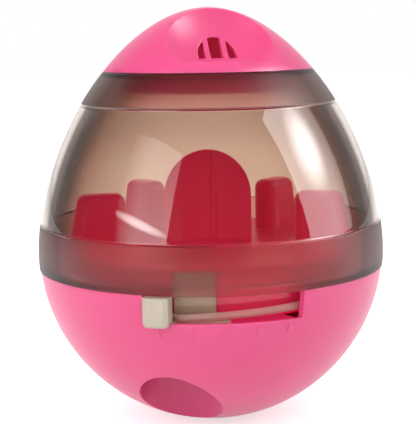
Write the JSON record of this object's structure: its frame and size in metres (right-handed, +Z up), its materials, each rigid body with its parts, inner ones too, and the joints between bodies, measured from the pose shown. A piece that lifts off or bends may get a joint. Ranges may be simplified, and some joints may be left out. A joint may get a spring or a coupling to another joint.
{
  "type": "treat ball",
  "caption": "Egg-shaped tumbler that drops pet treats: weighted pink bowl, smoky dome, twist-off cap and a sliding gate that sets how fast they fall out.",
  "frame": {"origin": "on the floor under the middle of the bowl, at the centre of its small resting flat", "axes": "+Z up along the egg's axis towards the cap, -Y towards the front with the gate's knob, +X to the right seen from the front"},
  "size_m": [0.11, 0.11, 0.13],
  "materials": {
    "pink_plastic": "glossy",
    "smoky_plastic": "clear with frosted bands",
    "ivory_plastic": "satin",
    "screw_steel": "plated",
    "weight_iron": "rough"
  },
  "bodies": {
    "base": {"base_bowl": "pink_plastic", "counterweight": "weight_iron", "weight_cover": "pink_plastic", "cover_screws": "screw_steel", "gate_screw": "screw_steel", "treat_tray": "pink_plastic", "tray_screws": "screw_steel"},
    "gate": {"flow_gate": "ivory_plastic"},
    "dome": {"dome": "smoky_plastic"},
    "cap": {"top_cap": "pink_plastic"}
  },
  "joints": [
    {"name": "gate_turn", "type": "hinge", "parent": "base", "child": "gate", "pos_m": [0, 0, 0.042], "axis": [0, 0, 1], "range_deg": [0, 42]},
    {"name": "dome_twist", "type": "hinge", "parent": "base", "child": "dome", "pos_m": [0, 0, 0.045], "axis": [0, 0, 1], "range_deg": [0, 50]},
    {"name": "cap_twist", "type": "hinge", "parent": "dome", "child": "cap", "pos_m": [0, 0, 0.11], "axis": [0, 0, 1], "range_deg": [0, 40]}
  ]
}
